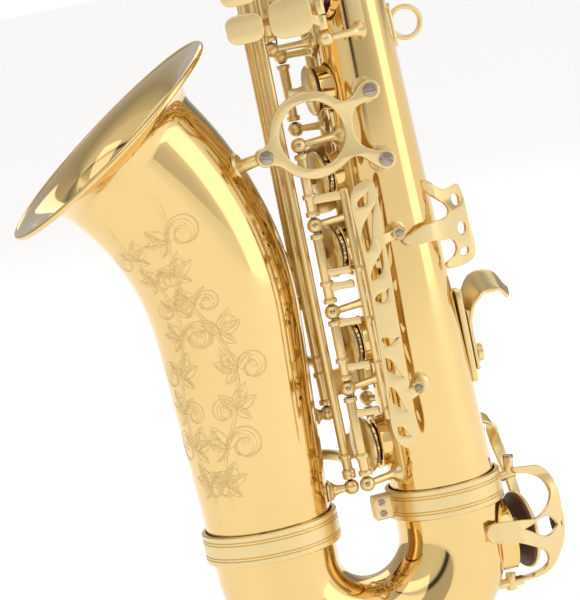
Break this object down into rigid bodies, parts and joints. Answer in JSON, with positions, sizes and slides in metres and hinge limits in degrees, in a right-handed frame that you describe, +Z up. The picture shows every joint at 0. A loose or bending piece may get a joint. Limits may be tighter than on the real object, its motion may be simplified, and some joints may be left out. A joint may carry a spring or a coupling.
{
  "type": "alto saxophone",
  "caption": "Curved lacquered-brass saxophone with flared bell, bow, bent neck, mouthpiece and a full set of hinged, padded keys.",
  "frame": {"origin": "centre of the strap ring on the back of the body tube, from which the instrument hangs", "axes": "+Z up along the body tube, towards the neck; -X the way the bell faces; -Y the player's left"},
  "size_m": [0.3539, 0.1298, 0.6532],
  "materials": {
    "lacquered_brass": "polished, clear golden lacquer",
    "steel": "bright turned steel",
    "blued_steel": "blue tempered spring steel",
    "cork": "waxed natural cork",
    "felt": "dense wool felt",
    "leather_pad": "oiled kid leather",
    "pearl": "polished mother-of-pearl look",
    "ebonite": "polished hard rubber",
    "cane": "dry sanded cane"
  },
  "bodies": {
    "horn": {"body_tube": "lacquered_brass", "bow": "lacquered_brass", "bell": "lacquered_brass", "body_bow_clamp": "lacquered_brass", "bell_bow_band": "lacquered_brass", "bell_brace": "lacquered_brass", "bell_brace_stud": "lacquered_brass", "brace_screw_upper": "steel", "brace_screw_lower": "steel", "strap_ring": "lacquered_brass", "thumb_hook_plate": "lacquered_brass", "thumb_hook": "lacquered_brass", "thumb_hook_screw": "lacquered_brass", "clothing_guard": "lacquered_brass", "rear_guard": "lacquered_brass", "low_c_guard": "lacquered_brass", "bell_key_guard": "lacquered_brass", "rh_stack_rib": "lacquered_brass", "rh_stack_rod": "steel", "lh_stack_rib": "lacquered_brass", "lh_stack_rod": "steel", "table_rib": "lacquered_brass", "bell_key_rib": "lacquered_brass", "long_rod_bracket": "lacquered_brass", "side_key_rib": "lacquered_brass", "palm_key_rib": "lacquered_brass", "low_key_rib": "lacquered_brass", "neck_receiver": "lacquered_brass"},
    "key_f_sharp": {"key_f_sharp": "lacquered_brass"},
    "key_f": {"key_f": "lacquered_brass"},
    "key_e": {"key_e": "lacquered_brass"},
    "key_d": {"key_d": "lacquered_brass"},
    "key_g": {"key_g": "lacquered_brass"},
    "key_a": {"key_a": "lacquered_brass"},
    "key_b": {"key_b": "lacquered_brass"},
    "key_c_small": {"key_c_small": "lacquered_brass"},
    "key_g_sharp": {"key_g_sharp": "lacquered_brass"},
    "lever_g_sharp": {"lever_g_sharp": "lacquered_brass"},
    "lever_low_b": {"lever_low_b": "lacquered_brass"},
    "lever_low_b_flat": {"lever_low_b_flat": "lacquered_brass"},
    "lever_c_sharp": {"lever_c_sharp": "lacquered_brass"},
    "key_low_b_flat": {"key_low_b_flat": "lacquered_brass"},
    "key_low_b": {"key_low_b": "lacquered_brass"},
    "key_low_c_sharp": {"key_low_c_sharp": "lacquered_brass"},
    "side_key_b_flat": {"side_key_b_flat": "lacquered_brass"},
    "side_key_c": {"side_key_c": "lacquered_brass"},
    "side_key_e": {"side_key_e": "lacquered_brass"},
    "palm_key_d": {"palm_key_d": "lacquered_brass"},
    "palm_key_e_flat": {"palm_key_e_flat": "lacquered_brass"},
    "palm_key_f": {"palm_key_f": "lacquered_brass"},
    "key_e_flat": {"key_e_flat": "lacquered_brass"},
    "lever_low_c": {"lever_low_c": "lacquered_brass"},
    "key_low_c": {"key_low_c": "lacquered_brass"},
    "thumb_octave_lever": {"thumb_octave_lever": "lacquered_brass"},
    "neck": {"neck_tube": "lacquered_brass", "neck_cork": "cork"},
    "neck_octave_key": {"neck_octave_key": "lacquered_brass"},
    "mouthpiece": {"mouthpiece": "ebonite", "ligature": "lacquered_brass", "reed": "cane"}
  },
  "joints": [
    {"name": "f_sharp_press", "type": "hinge", "parent": "horn", "child": "key_f_sharp", "pos_m": [-0.0688, -0.022, -0.065], "axis": [0, 0, -1], "range_deg": [0, 9], "stiffness_Nm_per_rad": 0.08, "springref_deg": -20.05},
    {"name": "f_press", "type": "hinge", "parent": "horn", "child": "key_f", "pos_m": [-0.0688, -0.022, -0.102], "axis": [0, 0, -1], "range_deg": [0, 9], "stiffness_Nm_per_rad": 0.08, "springref_deg": -20.05},
    {"name": "e_press", "type": "hinge", "parent": "horn", "child": "key_e", "pos_m": [-0.0688, -0.022, -0.1485], "axis": [0, 0, -1], "range_deg": [0, 9], "stiffness_Nm_per_rad": 0.08, "springref_deg": -20.05},
    {"name": "d_press", "type": "hinge", "parent": "horn", "child": "key_d", "pos_m": [-0.0688, -0.022, -0.199], "axis": [0, 0, -1], "range_deg": [0, 9], "stiffness_Nm_per_rad": 0.08, "springref_deg": -20.05},
    {"name": "g_press", "type": "hinge", "parent": "horn", "child": "key_g", "pos_m": [-0.0672, 0.004, 0.022], "axis": [0, 0, 1], "range_deg": [0, 9], "stiffness_Nm_per_rad": 0.08, "springref_deg": -20.05},
    {"name": "a_press", "type": "hinge", "parent": "horn", "child": "key_a", "pos_m": [-0.0672, 0.004, 0.055], "axis": [0, 0, 1], "range_deg": [0, 9], "stiffness_Nm_per_rad": 0.08, "springref_deg": -20.05},
    {"name": "b_press", "type": "hinge", "parent": "horn", "child": "key_b", "pos_m": [-0.0672, 0.004, 0.084], "axis": [0, 0, 1], "range_deg": [0, 9], "stiffness_Nm_per_rad": 0.08, "springref_deg": -20.05},
    {"name": "c_small_press", "type": "hinge", "parent": "horn", "child": "key_c_small", "pos_m": [-0.0672, 0.004, 0.11], "axis": [0, 0, 1], "range_deg": [0, 9], "stiffness_Nm_per_rad": 0.08, "springref_deg": -20.05},
    {"name": "g_sharp_press", "type": "hinge", "parent": "horn", "child": "key_g_sharp", "pos_m": [-0.0598, 0.02, -0.023], "axis": [0, 0, -1], "range_deg": [0, 8], "stiffness_Nm_per_rad": 0.08, "springref_deg": -20.05},
    {"name": "lever_g_sharp_press", "type": "hinge", "parent": "horn", "child": "lever_g_sharp", "pos_m": [-0.0488, -0.036, 0.009], "axis": [0, 0, -1], "range_deg": [0, 9], "stiffness_Nm_per_rad": 0.08, "springref_deg": -20.05},
    {"name": "lever_low_b_press", "type": "hinge", "parent": "horn", "child": "lever_low_b", "pos_m": [-0.0488, -0.036, 0.0166], "axis": [0, 0, -1], "range_deg": [0, 9], "stiffness_Nm_per_rad": 0.08, "springref_deg": -20.05},
    {"name": "lever_low_b_flat_press", "type": "hinge", "parent": "horn", "child": "lever_low_b_flat", "pos_m": [-0.0488, -0.036, 0.024], "axis": [0, 0, -1], "range_deg": [0, 9], "stiffness_Nm_per_rad": 0.08, "springref_deg": -20.05},
    {"name": "lever_c_sharp_press", "type": "hinge", "parent": "horn", "child": "lever_c_sharp", "pos_m": [-0.0488, -0.036, 0.0312], "axis": [0, 0, -1], "range_deg": [0, 9], "stiffness_Nm_per_rad": 0.08, "springref_deg": -20.05},
    {"name": "low_b_flat_press", "type": "hinge", "parent": "horn", "child": "key_low_b_flat", "pos_m": [-0.0754, 0.014, -0.04], "axis": [0, 0, 1], "range_deg": [0, 7], "stiffness_Nm_per_rad": 0.08, "springref_deg": -20.05},
    {"name": "low_b_press", "type": "hinge", "parent": "horn", "child": "key_low_b", "pos_m": [-0.0755, 0.006, -0.065], "axis": [0, 0, 1], "range_deg": [0, 7], "stiffness_Nm_per_rad": 0.08, "springref_deg": -20.05},
    {"name": "low_c_sharp_press", "type": "hinge", "parent": "horn", "child": "key_low_c_sharp", "pos_m": [-0.074, -0.008, -0.085], "axis": [0, 0, 1], "range_deg": [0, 7], "stiffness_Nm_per_rad": 0.08, "springref_deg": -20.05},
    {"name": "side_key_b_flat_press", "type": "hinge", "parent": "horn", "child": "side_key_b_flat", "pos_m": [-0.04498, 0.02323, -0.035], "axis": [0, 0, 1], "range_deg": [0, 9], "stiffness_Nm_per_rad": 0.08, "springref_deg": -20.05},
    {"name": "side_key_c_press", "type": "hinge", "parent": "horn", "child": "side_key_c", "pos_m": [-0.03973, 0.02651, -0.02], "axis": [0, 0, 1], "range_deg": [0, 9], "stiffness_Nm_per_rad": 0.08, "springref_deg": -20.05},
    {"name": "side_key_e_press", "type": "hinge", "parent": "horn", "child": "side_key_e", "pos_m": [-0.03392, 0.02863, 0.02], "axis": [0, 0, 1], "range_deg": [0, 9], "stiffness_Nm_per_rad": 0.08, "springref_deg": -20.05},
    {"name": "palm_key_d_press", "type": "hinge", "parent": "horn", "child": "palm_key_d", "pos_m": [-0.01303, -0.01966, 0.128], "axis": [0, 0, 1], "range_deg": [0, 10], "stiffness_Nm_per_rad": 0.08, "springref_deg": -20.05},
    {"name": "palm_key_e_flat_press", "type": "hinge", "parent": "horn", "child": "palm_key_e_flat", "pos_m": [-0.01303, -0.01966, 0.151], "axis": [0, 0, 1], "range_deg": [0, 10], "stiffness_Nm_per_rad": 0.08, "springref_deg": -20.05},
    {"name": "palm_key_f_press", "type": "hinge", "parent": "horn", "child": "palm_key_f", "pos_m": [-0.01303, -0.01966, 0.173], "axis": [0, 0, 1], "range_deg": [0, 10], "stiffness_Nm_per_rad": 0.08, "springref_deg": -20.05},
    {"name": "e_flat_press", "type": "hinge", "parent": "horn", "child": "key_e_flat", "pos_m": [-0.0478, 0.038, -0.2], "axis": [0, 0, 1], "range_deg": [0, 9], "stiffness_Nm_per_rad": 0.08, "springref_deg": -20.05},
    {"name": "lever_low_c_press", "type": "hinge", "parent": "horn", "child": "lever_low_c", "pos_m": [-0.0478, 0.038, -0.171], "axis": [0, 0, 1], "range_deg": [0, 9], "stiffness_Nm_per_rad": 0.08, "springref_deg": -20.05},
    {"name": "low_c_press", "type": "hinge", "parent": "horn", "child": "key_low_c", "pos_m": [0.0042, 0.033, -0.194], "axis": [0, 0, -1], "range_deg": [0, 8], "stiffness_Nm_per_rad": 0.08, "springref_deg": -20.05},
    {"name": "thumb_octave_press", "type": "hinge", "parent": "horn", "child": "thumb_octave_lever", "pos_m": [-0.00272, 0, 0.078], "axis": [0, 1, 0], "range_deg": [0, 5], "stiffness_Nm_per_rad": 0.03, "springref_deg": -17.19},
    {"name": "neck_swivel", "type": "hinge", "parent": "horn", "child": "neck", "pos_m": [-0.0268, 0, 0.212], "axis": [0, 0, 1], "range_deg": [-20, 20]},
    {"name": "neck_octave_lift", "type": "hinge", "parent": "neck", "child": "neck_octave_key", "pos_m": [-0.02404, 0, 0.28698], "axis": [0, -1, 0], "range_deg": [0, 4], "stiffness_Nm_per_rad": 0.03, "springref_deg": -17.19},
    {"name": "mouthpiece_slide", "type": "slide", "parent": "neck", "child": "mouthpiece", "axis": [0.9659, 0, 0.2588], "range_m": [0, 0.008]}
  ],
  "couplings": [
    {"joint": "f_sharp_press", "follows": "f_press", "ratio": 1},
    {"joint": "c_small_press", "follows": "b_press", "ratio": 1},
    {"joint": "g_sharp_press", "follows": "lever_g_sharp_press", "ratio": 0.88888},
    {"joint": "low_b_flat_press", "follows": "lever_low_b_flat_press", "ratio": 0.77777},
    {"joint": "low_b_press", "follows": "lever_low_b_press", "ratio": 0.77777},
    {"joint": "low_c_sharp_press", "follows": "lever_c_sharp_press", "ratio": 0.77777},
    {"joint": "low_c_press", "follows": "lever_low_c_press", "ratio": 0.88888},
    {"joint": "neck_octave_lift", "follows": "thumb_octave_press", "ratio": 0.79999}
  ]
}
